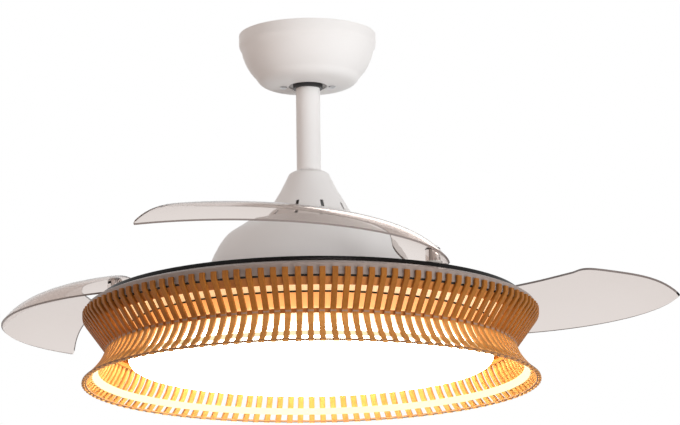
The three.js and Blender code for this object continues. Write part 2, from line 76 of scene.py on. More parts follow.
world = bpy.data.worlds.new("studio")
scene.world = world
world.use_nodes = True
tree = world.node_tree
tree.nodes.clear()
seen = tree.nodes.new("ShaderNodeBackground")
seen.inputs["Color"].default_value = (1.0, 1.0, 1.0, 1.0)
seen.inputs["Strength"].default_value = 1.0
lighting = tree.nodes.new("ShaderNodeBackground")
lighting.inputs["Color"].default_value = (1.0, 0.91, 0.87, 1.0)
lighting.inputs["Strength"].default_value = 0.40
choose = tree.nodes.new("ShaderNodeMixShader")
out = tree.nodes.new("ShaderNodeOutputWorld")
tree.links.new(seen_of_studio(tree), choose.inputs[0])
tree.links.new(lighting.outputs[0], choose.inputs[1])
tree.links.new(seen.outputs[0], choose.inputs[2])
tree.links.new(choose.outputs[0], out.inputs["Surface"])


def lamp(name, place, aim, size, watts, colour):
    data = bpy.data.lights.new(name, "AREA")
    data.shape = "DISK"
    data.size = size
    data.energy = watts
    data.color = colour
    light = bpy.data.objects.new(name, data)
    scene.collection.objects.link(light)
    light.location = place
    light.rotation_euler = (Vector(aim) - Vector(place)).to_track_quat("-Z", "Y").to_euler()
    light.visible_glossy = False


lamp("key", (2.75, -2.35, -1.45), (0.0, 0.0, -0.2), 1.5, 69.0, (0.97, 0.99, 1.0))
lamp("low", (1.6, -1.9, -2.3), (0.0, 0.0, -0.05), 1.2, 15.0, (0.97, 0.99, 1.0))
lamp("front", (0.7, -3.4, 0.6), (0.0, 0.0, -0.25), 1.6, 22.0, (0.98, 0.99, 1.0))
lamp("fill", (-2.9, -1.2, -1.1), (0.0, 0.0, -0.28), 2.0, 12.5, (1.0, 0.60, 0.40))
lamp("rim", (0.8, 2.4, 1.2), (0.0, 0.0, -0.2), 1.4, 14.0, (1.0, 0.98, 0.96))

FLOOR_HEIGHT, FLOOR_REACH, FLOOR_WHITE = -2.6, 40.0, 0.78
floor_mesh = bpy.data.meshes.new("studio_floor")
floor_mesh.from_pydata([(FLOOR_REACH * x, FLOOR_REACH * y, FLOOR_HEIGHT)
                        for x, y in ((-1, -1), (1, -1), (1, 1), (-1, 1))], [], [(0, 1, 2, 3)])
studio_floor = bpy.data.objects.new("studio_floor", floor_mesh)
scene.collection.objects.link(studio_floor)
pale = bpy.data.materials.new("pale_floor")
pale.use_nodes = True
tree = pale.node_tree
matt = tree.nodes["Principled BSDF"]
matt.inputs["Base Color"].default_value = (0.82, 0.81, 0.80, 1)
matt.inputs["Roughness"].default_value = 0.9
white = tree.nodes.new("ShaderNodeEmission")
share = tree.nodes.new("ShaderNodeMath")
share.operation = "MULTIPLY"
share.inputs[1].default_value = FLOOR_WHITE  # the rest stays matt and keeps the fan's soft shadow
lit = tree.nodes.new("ShaderNodeMixShader")
clear = tree.nodes.new("ShaderNodeBsdfTransparent")  # the underside lets a view from below through
side = tree.nodes.new("ShaderNodeNewGeometry")
sided = tree.nodes.new("ShaderNodeMixShader")
tree.links.new(seen_of_studio(tree), share.inputs[0])
tree.links.new(share.outputs[0], lit.inputs[0])
tree.links.new(matt.outputs[0], lit.inputs[1])
tree.links.new(white.outputs[0], lit.inputs[2])
tree.links.new(side.outputs["Backfacing"], sided.inputs[0])
tree.links.new(lit.outputs[0], sided.inputs[1])
tree.links.new(clear.outputs[0], sided.inputs[2])
tree.links.new(sided.outputs[0], tree.nodes["Material Output"].inputs["Surface"])
floor_mesh.materials.append(pale)

# ------------------------------------------------------------------ canopy
# The white bowl that hides the ceiling bracket: pressed sheet steel with a stepped rim, painted
# satin white, with a round opening for the rod and two screws beside it.


def turned(name, outline, steps=128, crease=28.0, rounding=0.0):
    """A closed shape turned about the fan's axis from (radius, height) pairs in millimetres."""
    bm = bmesh.new()
    rings = []
    for radius, height in outline:
        if radius < 1e-6:
            rings.append([bm.verts.new((0.0, 0.0, up(height)))])
            continue
        rings.append([bm.verts.new((radius / 1000 * math.cos(2 * math.pi * k / steps),
                                    radius / 1000 * math.sin(2 * math.pi * k / steps), up(height)))
                      for k in range(steps)])
    for low, high in zip(rings, rings[1:] + rings[:1]):
        if len(low) == 1 and len(high) == 1:
            continue
        for k in range(steps):
            n = (k + 1) % steps
            if len(low) == 1:
                bm.faces.new((low[0], high[n], high[k]))
            elif len(high) == 1:
                bm.faces.new((low[k], low[n], high[0]))
            else:
                bm.faces.new((low[k], low[n], high[n], high[k]))
    bmesh.ops.recalc_face_normals(bm, faces=bm.faces)
    mesh = bpy.data.meshes.new(name)
    bm.to_mesh(mesh)
    bm.free()
    return placed(name, mesh, crease, rounding)


def placed(name, mesh, crease=28.0, rounding=0.0):
    for face in mesh.polygons:
        face.use_smooth = True
    mesh.set_sharp_from_angle(angle=math.radians(crease))
    piece = bpy.data.objects.new(name, mesh)
    scene.collection.objects.link(piece)
    if rounding:
        edge = piece.modifiers.new("rounded_edges", "BEVEL")
        edge.width = rounding / 1000
        edge.segments = 2
        edge.limit_method = "ANGLE"
        edge.angle_limit = math.radians(35)
        edge.harden_normals = True
    return piece


def fit(piece, body, material, slot, *stands_for):
    piece.data.materials.clear()
    piece.data.materials.append(material)
    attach(piece, body)
    if stands_for:
        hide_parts(*stands_for)


def dress(material, *names):
    """Gives CAD nodes that keep their own shape their finish."""
    for name in names:
        nodes[name].data.materials.clear()
        nodes[name].data.materials.append(material)


def socket(group, name, kind, in_out, value=None):
    made = group.interface.new_socket(name=name, in_out=in_out, socket_type=kind)
    if value is not None:
        made.default_value = value


# Slow and fine unevenness in one effect: sprayed paint, moulded plastic, rolled metal.
uneven = bpy.data.node_groups.new("uneven_surface", "ShaderNodeTree")
socket(uneven, "Grain Size", "NodeSocketFloat", "INPUT", 900.0)
socket(uneven, "Patch Size", "NodeSocketFloat", "INPUT", 14.0)
socket(uneven, "Light", "NodeSocketColor", "INPUT", (1, 1, 1, 1))
socket(uneven, "Dark", "NodeSocketColor", "INPUT", (0.9, 0.9, 0.9, 1))
socket(uneven, "Smooth", "NodeSocketFloat", "INPUT", 0.3)
socket(uneven, "Rough", "NodeSocketFloat", "INPUT", 0.4)
socket(uneven, "Color", "NodeSocketColor", "OUTPUT")
socket(uneven, "Roughness", "NodeSocketFloat", "OUTPUT")
socket(uneven, "Height", "NodeSocketFloat", "OUTPUT")
gn, gl = uneven.nodes, uneven.links
g_in, g_out = gn.new("NodeGroupInput"), gn.new("NodeGroupOutput")
g_place = gn.new("ShaderNodeTexCoord")
g_fine, g_slow = gn.new("ShaderNodeTexNoise"), gn.new("ShaderNodeTexNoise")
g_fine.inputs["Detail"].default_value = 3.0
g_slow.inputs["Detail"].default_value = 4.0
g_tint = gn.new("ShaderNodeMix")
g_tint.data_type = "RGBA"
g_gloss = gn.new("ShaderNodeMapRange")
gl.new(g_place.outputs["Object"], g_fine.inputs["Vector"])
gl.new(g_place.outputs["Object"], g_slow.inputs["Vector"])
gl.new(g_in.outputs["Grain Size"], g_fine.inputs["Scale"])
gl.new(g_in.outputs["Patch Size"], g_slow.inputs["Scale"])
gl.new(g_slow.outputs["Fac"], g_tint.inputs["Factor"])
gl.new(g_in.outputs["Light"], g_tint.inputs["A"])
gl.new(g_in.outputs["Dark"], g_tint.inputs["B"])
gl.new(g_slow.outputs["Fac"], g_gloss.inputs["Value"])
gl.new(g_in.outputs["Smooth"], g_gloss.inputs["To Min"])
gl.new(g_in.outputs["Rough"], g_gloss.inputs["To Max"])
gl.new(g_tint.outputs["Result"], g_out.inputs["Color"])
gl.new(g_gloss.outputs["Result"], g_out.inputs["Roughness"])
gl.new(g_fine.outputs["Fac"], g_out.inputs["Height"])


def coated(name, light, dark, smooth, rough, metal=0.0, grain=900.0, patch=14.0, bump=0.06):
    """A painted, moulded or plated finish with faint patches of tone and gloss and a fine grain."""
    material = bpy.data.materials.new(name)
    material.use_nodes = True
    n, l = material.node_tree.nodes, material.node_tree.links
    shader = n["Principled BSDF"]
    shader.inputs["Metallic"].default_value = metal
    surface = n.new("ShaderNodeGroup")
    surface.node_tree = uneven
    surface.inputs["Grain Size"].default_value = grain
    surface.inputs["Patch Size"].default_value = patch
    surface.inputs["Light"].default_value = (*light, 1)
    surface.inputs["Dark"].default_value = (*dark, 1)
    surface.inputs["Smooth"].default_value = smooth
    surface.inputs["Rough"].default_value = rough
    relief = n.new("ShaderNodeBump")
    relief.inputs["Strength"].default_value = bump
    relief.inputs["Distance"].default_value = 0.0004
    l.new(surface.outputs["Color"], shader.inputs["Base Color"])
    l.new(surface.outputs["Roughness"], shader.inputs["Roughness"])
    l.new(surface.outputs["Height"], relief.inputs["Height"])
    l.new(relief.outputs["Normal"], shader.inputs["Normal"])
    return material


white_paint = coated("white_paint", (0.875, 0.865, 0.858), (0.84, 0.828, 0.82), 0.34, 0.46,
                     bump=0.08)
canopy = turned("canopy_bowl", [
    (76, 394.5), (76, 383.6), (75.8, 382), (75.3, 380.4), (74.5, 378.8), (73.6, 377),
    (72.8, 374.6), (71.9, 371), (69.6, 364.6), (66.9, 359), (64, 354.4), (61.4, 351), (59.6, 348.9),
    (58.4, 347.5), (57.4, 346.2), (56.4, 344.6), (55.2, 342.8), (53.4, 340.9), (51, 339.2),
    (48, 337.9), (44, 336.9), (38, 336.3), (30, 336.02), (21, 336), (21, 337.6), (44, 338.6),
    (50.2, 341), (53, 344.4),
    (55.6, 348.4), (59.4, 351.4), (65, 359.8), (71, 379), (74.4, 381), (74.4, 394.5)],
    rounding=0.35)
fit(canopy, "ceiling_side", white_paint, "white_metal", "canopy")

# ------------------------------------------------------------------ bracket, ball and receiver
# The zinc-plated strap bracket on the ceiling, the moulded ball that hangs in its seat, the
# cross pin, the small receiver box for the remote control, and the dark seal round the rod.
zinc = coated("zinc_plate", (0.62, 0.64, 0.66), (0.50, 0.52, 0.55), 0.28, 0.5, metal=1.0,
              grain=420.0, patch=30.0, bump=0.12)
bright_steel = coated("bright_steel", (0.72, 0.73, 0.75), (0.60, 0.61, 0.63), 0.2, 0.34, metal=1.0,
                      grain=1400.0, patch=60.0, bump=0.08)
black_moulding = coated("black_moulding", (0.028, 0.027, 0.027), (0.016, 0.016, 0.017), 0.3, 0.45,
                        grain=1600.0, patch=22.0, bump=0.1)
grey_moulding = coated("grey_moulding", (0.74, 0.74, 0.73), (0.66, 0.66, 0.65), 0.42, 0.55,
                       grain=1500.0, patch=26.0, bump=0.12)
dress(zinc, "ceiling_bracket", "shaft_nut")
dress(bright_steel, "canopy_screw_1", "canopy_screw_2", "ball_pin")
dress(grey_moulding, "remote_receiver", "supply_cable")
rod_seal = turned("rod_seal", [(13.5, 332.9), (16.2, 332.9), (16.4, 334), (16.4, 340), (13.5, 340)],
                  steps=64, rounding=0.3)
fit(rod_seal, "hung_fan", black_moulding, "black_gloss")
ball_outline = [(13.65, 347.2)] + [
    (24 * math.cos(math.radians(a)), 362 + 24 * math.sin(math.radians(a)))
    for a in range(-38, 37, 4)] + [(13.65, 376.2)]
hanger_ball = turned("hanger_ball_turned", ball_outline, steps=64, rounding=0.5)
fit(hanger_ball, "hung_fan", black_moulding, "black_gloss", "hanger_ball")

# ------------------------------------------------------------------ down rod and its cover
# A white painted steel pipe, and the conical cover that slides down it over the coupling. The
# cover is moulded, with a row of vent slots just above its lower edge.
rod = turned("down_rod_tube", [(11.05, 204), (13.35, 204), (13.35, 376), (11.05, 376)], steps=64,
             rounding=0.4)
fit(rod, "hung_fan", white_paint, "white_metal", "down_rod")

cover = turned("rod_cover_cone", [
    (47.4, 186.7), (47.4, 188), (46.9, 189.6), (45.6, 192), (39.8, 202.6), (31.6, 216),
    (26.4, 226.4), (23.2, 233), (22.6, 234.4), (21.6, 235.6), (19.6, 237), (17.4, 238),
    (13.65, 238.6), (13.65, 236.9), (17, 236.3), (19.4, 235), (21.3, 233), (25, 225.4),
    (30, 215.4), (38.2, 201.8), (45.2, 189), (45.8, 186.7)], steps=160, crease=40)
SLOT_COUNT, FIRST_SLOT = 10, -71.5
slots = bmesh.new()
for k in range(SLOT_COUNT):
    spot = bmesh.ops.create_cube(slots, size=1.0)["verts"]
    bmesh.ops.scale(slots, verts=spot, vec=(0.016, 0.0036, 0.0086))
    bmesh.ops.translate(slots, verts=spot, vec=(0.044, 0.0, up(193.9)))
    bmesh.ops.rotate(slots, verts=spot, cent=(0, 0, 0),
                     matrix=Matrix.Rotation(math.radians(FIRST_SLOT + 360 / SLOT_COUNT * k), 3, "Z"))
slot_mesh = bpy.data.meshes.new("slot_tool")
slots.to_mesh(slot_mesh)
slots.free()
slot_tool = bpy.data.objects.new("slot_tool", slot_mesh)
scene.collection.objects.link(slot_tool)
cut = cover.modifiers.new("slots", "BOOLEAN")
cut.object = slot_tool
cut.solver = "EXACT"


def applied(piece):
    """Turns a piece's modifiers into its plain mesh."""
    bpy.context.view_layer.update()
    done = bpy.data.meshes.new_from_object(piece.evaluated_get(bpy.context.evaluated_depsgraph_get()))
    piece.modifiers.clear()
    piece.data = done


applied(cover)
bpy.data.objects.remove(slot_tool)
cover.data.set_sharp_from_angle(angle=math.radians(40))
fit(cover, "hung_fan", white_paint, "white_metal", "rod_cover")

# ------------------------------------------------------------------ motor housing
# The bell over the motor: spun aluminium, painted like the canopy, with a soft shoulder near its
# top and a rolled lip above the blade disc.
housing = turned("motor_bell", [
    (118.6, 98), (119, 99.2), (118.9, 101), (118.2, 102.6), (118, 105), (115.6, 116), (113.2, 125),
    (110.4, 132.8), (106, 143), (101, 152.3), (97.8, 157.4), (94.8, 161.6), (91.4, 165.2),
    (88.6, 167.3), (85.6, 169.2), (78.6, 173.8), (72.6, 177.8), (70, 179.3), (66, 181.6),
    (60, 184.2), (55.6, 185.8), (51, 186.4), (12.3, 186.4), (12.3, 184.4), (50, 184.4),
    (59.2, 182.2), (70, 176.6), (85.6, 166.6), (93.2, 160), (98.6, 152.2), (107.6, 132.4),
    (115.8, 104), (116.8, 98)], steps=160, crease=40)
fit(housing, "hung_fan", white_paint, "white_metal", "motor_housing")

# ------------------------------------------------------------------ motor and coupling
# The outer-runner motor: dark phosphated rotor and stator, lacquered copper, steel bearings on a
# fixed hollow shaft, and the flanged socket that holds the rod.
phosphate = coated("dark_phosphate", (0.16, 0.165, 0.17), (0.09, 0.092, 0.095), 0.4, 0.6, metal=0.8,
                   grain=700.0, patch=34.0, bump=0.2)
copper = coated("lacquered_copper", (0.62, 0.28, 0.12), (0.42, 0.17, 0.07), 0.25, 0.4, metal=1.0,
                grain=1100.0, patch=120.0, bump=0.5)
dress(white_paint, "rod_coupling")
dress(phosphate, "motor_collar", "stator_core", "rotor_shell", "magnet_ring",
      "rotor_end_plate")
dress(copper, "stator_windings")
dress(bright_steel, "hollow_shaft", "upper_bearing", "lower_bearing", "coupling_pin",
      *[f"collar_screw_{k}" for k in (1, 2, 3)], *[f"tray_screw_{k}" for k in (1, 2, 3)])

# ------------------------------------------------------------------ blade disc
# The gloss black disc that turns with the rotor and that the blades fold onto: moulded, with a
# thicker edge. Only the edge shows from below.
gloss_black = coated("gloss_black", (0.007, 0.006, 0.006), (0.005, 0.0045, 0.0045), 0.16, 0.24,
                     grain=500.0, patch=9.0, bump=0.03)
gloss_black.node_tree.nodes["Principled BSDF"].inputs["Specular IOR Level"].default_value = 0.12
disc = turned("blade_disc", [
    (78, 92.5), (228, 92.5), (228, 89.5), (231.5, 89.5), (232, 90.0), (232, 93.9), (231.8, 94.3),
    (231.4, 94.5), (78, 94.5)], steps=192, rounding=0.3)
fit(disc, "rotor", gloss_black, "black_gloss", "blade_tray")

# ------------------------------------------------------------------ folding blades
# Three clear acrylic mouldings, each with a hub on its pivot. Folded, a blade lies along the rim
# of the disc; it rises steeply from its outer edge, then levels off inward, and comes down to the
# disc at its root. Its cut edges are less polished than its faces; their opaque grey-brown tone is
# painted shade for the dark line that refraction draws along a clear edge.
PIVOT_R, RIM_R, BLADE_T = 215.0, 232.0, 2.4
FIRST_PIVOT, SPAN, ROOT = -52.7, 109.6, 4.6
OPENED = (48.3, 48.8, 56.5)
HUB_R, BORE_R = 8.0, 4.08
WIDTHS = ((0, 60), (0.2, 64), (0.4, 84), (0.6, 93), (0.75, 93.5), (0.86, 88), (0.93, 51.5), (1, 3))


def blade_height(angle, inward):
    from_root = (angle + math.radians(ROOT)) * RIM_R
    return (97.0 + 0.008 * angle * RIM_R
            + (0.181 * inward + 22.0 * (1.0 - math.exp(-inward / 19.5)))
            * (1.0 - math.exp(-from_root / 14.0)))


def blade_width(fraction):
    """Width of the folded blade at a share of its span, on a smooth curve through WIDTHS."""
    k = max(i for i, (x, _) in enumerate(WIDTHS[:-1]) if x <= fraction + 1e-9)
    x0, y0 = WIDTHS[k]
    x1, y1 = WIDTHS[k + 1]
    before, after = WIDTHS[max(k - 1, 0)], WIDTHS[min(k + 2, len(WIDTHS) - 1)]
    t, h = (fraction - x0) / (x1 - x0), x1 - x0
    m0 = h * (y1 - before[1]) / (x1 - before[0])
    m1 = h * (after[1] - y0) / (after[0] - x0)
    return ((2 * t ** 3 - 3 * t ** 2 + 1) * y0 + (t ** 3 - 2 * t ** 2 + t) * m0
            + (3 * t ** 2 - 2 * t ** 3) * y1 + (t ** 3 - t ** 2) * m1)


def blade_mesh(name):
    across, along = 18, 84
    stations = []
    for k in range(10):
        e = -math.cos(math.pi / 2 * (k + 0.35) / 10)
        bow = math.sqrt(1 - e * e)
        stations.append((e * math.radians(ROOT), 24 * (1 - bow), 24 + 36 * bow))
    for k in range(along + 1):
        share = 1 - (1 - k / along) ** 1.25
        stations.append((share * math.radians(SPAN), 0.0, max(blade_width(min(share, 1.0)), 2.0)))
    bm = bmesh.new()
    layers = {}
    for i, (angle, near, far) in enumerate(stations):
        for j in range(across + 1):
            u = j / across
            inward = near + (far - near) * u * (0.5 + 0.5 * u)
            slope = (blade_height(angle, inward + 0.01) - blade_height(angle, inward)) / 0.01
            n = math.hypot(slope, 1)
            for side in (-1, 1):
                r = RIM_R - inward + side * slope / n * BLADE_T / 2
                z = blade_height(angle, inward) + side / n * BLADE_T / 2
                layers[i, j, side] = bm.verts.new((
                    (r * math.cos(-angle) - PIVOT_R) / 1000, r * math.sin(-angle) / 1000, up(z)))
    last = len(stations) - 1
    v = layers
    for i in range(last):
        for j in range(across):
            bm.faces.new((v[i, j, 1], v[i + 1, j, 1], v[i + 1, j + 1, 1], v[i, j + 1, 1]))
            bm.faces.new((v[i, j, -1], v[i, j + 1, -1], v[i + 1, j + 1, -1], v[i + 1, j, -1]))
        edge = bm.faces.new((v[i, 0, -1], v[i + 1, 0, -1], v[i + 1, 0, 1], v[i, 0, 1]))
        edge.material_index = 1
        edge = bm.faces.new((v[i, across, -1], v[i, across, 1], v[i + 1, across, 1],
                             v[i + 1, across, -1]))
        edge.material_index = 1
    for j in range(across):
        bm.faces.new((v[0, j, -1], v[0, j, 1], v[0, j + 1, 1], v[0, j + 1, -1]))
        bm.faces.new((v[last, j, -1], v[last, j + 1, -1], v[last, j + 1, 1], v[last, j, 1]))
    bmesh.ops.recalc_face_normals(bm, faces=bm.faces)
    mesh = bpy.data.meshes.new(name)
    bm.to_mesh(mesh)
    bm.free()
    return mesh


clear = bpy.data.materials.new("clear_acrylic")
clear.use_nodes = True
cn, cl = clear.node_tree.nodes, clear.node_tree.links
acrylic = cn["Principled BSDF"]
acrylic.inputs["Transmission Weight"].default_value = 1.0
acrylic.inputs["IOR"].default_value = 1.08
acrylic.inputs["Metallic"].default_value = 0.0
haze = cn.new("ShaderNodeGroup")
haze.node_tree = uneven
haze.inputs["Grain Size"].default_value = 260.0
haze.inputs["Patch Size"].default_value = 6.0
haze.inputs["Light"].default_value = (0.845, 0.795, 0.77, 1)
haze.inputs["Dark"].default_value = (0.805, 0.745, 0.715, 1)
haze.inputs["Smooth"].default_value = 0.02
haze.inputs["Rough"].default_value = 0.06
cl.new(haze.outputs["Color"], acrylic.inputs["Base Color"])
cl.new(haze.outputs["Roughness"], acrylic.inputs["Roughness"])
depth = cn.new("ShaderNodeVolumeAbsorption")
depth.inputs["Color"].default_value = (0.72, 0.66, 0.63, 1)
depth.inputs["Density"].default_value = 90.0
cl.new(depth.outputs["Volume"], cn["Material Output"].inputs["Volume"])
# Opaque grey-brown for the cut edges: painted shade, standing for the dark line refraction draws
# along them.
cut_edge_painted_shade = coated("cut_edge_painted_shade", (0.26, 0.22, 0.21), (0.21, 0.175, 0.165), 0.3, 0.45, grain=600.0,
                  patch=18.0, bump=0.1)

for k in range(3):
    azimuth = math.radians(FIRST_PIVOT + 120 * k)
    place = Matrix.Rotation(azimuth, 4, "Z") @ Matrix.Translation((PIVOT_R / 1000, 0, 0))
    mesh = blade_mesh(f"blade_shell_{k + 1}")
    mesh.materials.append(clear)
    mesh.materials.append(cut_edge_painted_shade)
    blade = placed(f"blade_shell_{k + 1}", mesh, crease=50)
    hub = turned(f"hub_tool_{k + 1}", [
        (BORE_R, 95.3), (HUB_R, 95.3), (HUB_R, 113.4), (HUB_R - 0.6, 114), (BORE_R, 114)], steps=48)
    join = blade.modifiers.new("hub", "BOOLEAN")
    join.operation = "UNION"
    join.object = hub
    join.solver = "EXACT"
    applied(blade)
    bpy.data.objects.remove(hub)
    bore = turned(f"bore_tool_{k + 1}", [(0, 90), (BORE_R, 90), (BORE_R, 130), (0, 130)],
                  steps=48)
    drill = blade.modifiers.new("bore", "BOOLEAN")
    drill.operation = "DIFFERENCE"
    drill.object = bore
    drill.solver = "EXACT"
    applied(blade)
    bpy.data.objects.remove(bore)
    blade.data.transform(place @ Matrix.Rotation(math.radians(OPENED[k]), 4, "Z"))
    blade.data.set_sharp_from_angle(angle=math.radians(50))
    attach(blade, f"blade_{k + 1}")
    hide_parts(f"blade_{k + 1}")
dress(white_paint, *[f"blade_pivot_{k}" for k in (1, 2, 3)])
spring_wire = coated("coated_spring_wire", (0.74, 0.71, 0.68), (0.62, 0.60, 0.57), 0.25, 0.36,
                     grain=1800.0, patch=80.0, bump=0.1)
dress(spring_wire, *[f"return_spring_{k}" for k in (1, 2, 3)])

# ------------------------------------------------------------------ trim ring and light pan
# White sheet parts under the disc: the ring slopes out to an upright band that carries the tabs
# of the slats, with a black strip at its foot that is painted shadow for the dark gap under the
# band, and the pan holds the lamp; the pan's warm glow is painted light. A thin black gasket
# parts the pan from the diffuser.
trim = turned("trim_ring_turned", [
    (205, 85), (236.4, 87), (244.5, 83.6), (244.5, 72.5), (246.1, 72.5), (246.1, 84.2),
    (245.7, 84.9), (244.6, 85.5), (237.4, 88.5), (236.4, 88.8), (235, 88.75), (205, 86.6)],
    steps=192, crease=24)
shade_grey = coated("warm_grey_paint", (0.29, 0.23, 0.205), (0.255, 0.205, 0.18), 0.36, 0.5,
                    bump=0.08)
fit(trim, "hung_fan", shade_grey, "white_metal", "trim_ring")
# A black ring at the foot of the band: painted shadow, standing for the dark gap under the band.
band_shadow_strip = turned("band_shadow_strip", [(244.6, 72.5), (242.6, 72.5), (241.6, 70.6), (243.6, 70.6)],
                   steps=180, rounding=0.2)
pan = turned("light_pan_turned", [
    (11.3, 83.2), (198.5, 83.2), (198.5, 64.5), (200, 64.5), (200, 83.2), (214, 83.2), (214, 84.7),
    (11.3, 84.7)], steps=160, rounding=0.25)
pan_white_painted_glow = coated("pan_white_painted_glow", (0.86, 0.80, 0.70), (0.82, 0.75, 0.64), 0.4, 0.5, bump=0.1)
pan_shader = pan_white_painted_glow.node_tree.nodes["Principled BSDF"]
# The pan is no lamp: its warm emission is painted light, standing for the lamp's glow falling on it.
pan_shader.inputs["Emission Color"].default_value = (0.95, 0.66, 0.32, 1)
pan_shader.inputs["Emission Strength"].default_value = 0.64
fit(pan, "hung_fan", pan_white_painted_glow, "white_metal", "light_pan")
gasket = turned("seam_gasket_turned", [
    (196.6, 62.5), (200.4, 62.5), (200.4, 64.2), (196.6, 64.2)], steps=160, rounding=0.2)
rubber = coated("black_rubber", (0.02, 0.02, 0.02), (0.012, 0.012, 0.012), 0.7, 0.85, grain=900.0,
                bump=0.2)
fit(gasket, "hung_fan", rubber, "black_rubber", "seam_gasket")
fit(band_shadow_strip, "hung_fan", rubber, "black_rubber")

# ------------------------------------------------------------------ lit diffuser and its lamp
# An opal moulded drum, lit from inside: its flat bottom is the brightest, its side glows warm.
# The board, its aluminium carrier and the driver lie inside. Small lamps round its side throw the
# glow that falls on the slats.
diffuser = turned("diffuser_drum", [
    (0, 21), (120, 21), (190, 21.1), (194.4, 21.9), (197.4, 23.6), (199.2, 26.4), (200, 30),
    (200, 62.2), (196.8, 62.2), (198, 57.5), (198, 30.6), (195.4, 25), (189.4, 23), (0, 23)],
    steps=160, crease=50)
opal = bpy.data.materials.new("lit_opal")
opal.use_nodes = True
on, ol = opal.node_tree.nodes, opal.node_tree.links
lit = on["Principled BSDF"]
lit.inputs["Base Color"].default_value = (0.80, 0.62, 0.40, 1)
lit.inputs["Roughness"].default_value = 0.45
where = on.new("ShaderNodeTexCoord")
parts = on.new("ShaderNodeSeparateXYZ")
ramp = on.new("ShaderNodeValToRGB")
ramp.color_ramp.elements[0].position = 0.0
ramp.color_ramp.elements[0].color = (1.0, 0.96, 0.76, 1)
ramp.color_ramp.elements[1].position = 1.0
ramp.color_ramp.elements[1].color = (0.036, 0.0128, 0.0022, 1)
for share, tone in ((0.12, (1.0, 0.94, 0.72, 1)), (0.24, (0.13, 0.115, 0.086, 1)),
                    (0.50, (0.065, 0.050, 0.026, 1)), (0.66, (0.040, 0.0180, 0.0041, 1))):
    ramp.color_ramp.elements.new(share).color = tone
level = on.new("ShaderNodeMapRange")
level.inputs["From Min"].default_value = up(21.0)
level.inputs["From Max"].default_value = up(62.0)
lit.inputs["Emission Strength"].default_value = 17.0
ol.new(where.outputs["Object"], parts.inputs["Vector"])
ol.new(parts.outputs["Z"], level.inputs["Value"])
ol.new(level.outputs["Result"], ramp.inputs["Fac"])
ol.new(ramp.outputs["Color"], lit.inputs["Emission Color"])
fit(diffuser, "hung_fan", opal, "lit_diffuser", "diffuser")
GLOW_COUNT, GLOW_R = 24, 0.2025
for k in range(GLOW_COUNT):
    turn = math.radians(360 / GLOW_COUNT * k)
    outward = Vector((math.cos(turn), math.sin(turn), 0))
    glow_data = bpy.data.lights.new(f"drum_glow_{k + 1}", "AREA")
    glow_data.shape = "RECTANGLE"
    glow_data.size, glow_data.size_y = 0.052, 0.034
    glow_data.energy = 0.024
    glow_data.color = (1.0, 0.60, 0.26)
    glow = bpy.data.objects.new(f"drum_glow_{k + 1}", glow_data)
    scene.collection.objects.link(glow)
    glow.location = GLOW_R * outward + Vector((0, 0, up(43)))
    glow.rotation_euler = outward.to_track_quat("-Z", "Y").to_euler()
    glow.visible_camera = glow.visible_glossy = glow.visible_transmission = False
board_white = coated("solder_mask", (0.85, 0.85, 0.82), (0.80, 0.80, 0.77), 0.4, 0.5, grain=700.0)
aluminium = coated("plain_aluminium", (0.78, 0.79, 0.80), (0.66, 0.67, 0.69), 0.3, 0.45, metal=1.0,
                   grain=600.0, patch=24.0, bump=0.12)
dress(board_white, "led_board")
dress(aluminium, "led_carrier")
dress(grey_moulding, "led_driver")

# ------------------------------------------------------------------ slatted shade
# Upright slats of oiled brown wood: a tab against the trim ring, straight down to the waist, then
# bowed outward. Above the waist their colour is darkened as painted shade. They are pinned to a
# hoop at the waist and glued to a hoop near each end.
wood_group = bpy.data.node_groups.new("wood_grain", "ShaderNodeTree")
socket(wood_group, "Pale", "NodeSocketColor", "INPUT", (0.6, 0.35, 0.2, 1))
socket(wood_group, "Deep", "NodeSocketColor", "INPUT", (0.3, 0.15, 0.07, 1))
socket(wood_group, "Tone", "NodeSocketFloat", "INPUT", 0.5)
socket(wood_group, "Color", "NodeSocketColor", "OUTPUT")
socket(wood_group, "Roughness", "NodeSocketFloat", "OUTPUT")
socket(wood_group, "Height", "NodeSocketFloat", "OUTPUT")
wn, wl = wood_group.nodes, wood_group.links
w_in, w_out = wn.new("NodeGroupInput"), wn.new("NodeGroupOutput")
w_place, w_stretch = wn.new("ShaderNodeTexCoord"), wn.new("ShaderNodeMapping")
w_stretch.inputs["Scale"].default_value = (520.0, 520.0, 34.0)
w_fibre, w_patch = wn.new("ShaderNodeTexNoise"), wn.new("ShaderNodeTexNoise")
w_fibre.inputs["Scale"].default_value = 1.0
w_fibre.inputs["Detail"].default_value = 5.0
w_patch.inputs["Scale"].default_value = 38.0
w_blend, w_pick = wn.new("ShaderNodeMath"), wn.new("ShaderNodeMapRange")
w_blend.operation = "ADD"
w_mix = wn.new("ShaderNodeMix")
w_mix.data_type = "RGBA"
w_gloss = wn.new("ShaderNodeMapRange")
w_gloss.inputs["To Min"].default_value = 0.42
w_gloss.inputs["To Max"].default_value = 0.66
w_lift = wn.new("ShaderNodeMath")
w_lift.operation = "MULTIPLY_ADD"
w_lift.inputs[1].default_value = 0.5
wl.new(w_place.outputs["Object"], w_stretch.inputs["Vector"])
wl.new(w_stretch.outputs["Vector"], w_fibre.inputs["Vector"])
wl.new(w_place.outputs["Object"], w_patch.inputs["Vector"])
wl.new(w_patch.outputs["Fac"], w_lift.inputs[0])
wl.new(w_in.outputs["Tone"], w_lift.inputs[2])
wl.new(w_fibre.outputs["Fac"], w_blend.inputs[0])
wl.new(w_lift.outputs[0], w_blend.inputs[1])
wl.new(w_blend.outputs[0], w_pick.inputs["Value"])
w_pick.inputs["From Min"].default_value = 0.7
w_pick.inputs["From Max"].default_value = 1.9
wl.new(w_pick.outputs["Result"], w_mix.inputs["Factor"])
wl.new(w_in.outputs["Pale"], w_mix.inputs["A"])
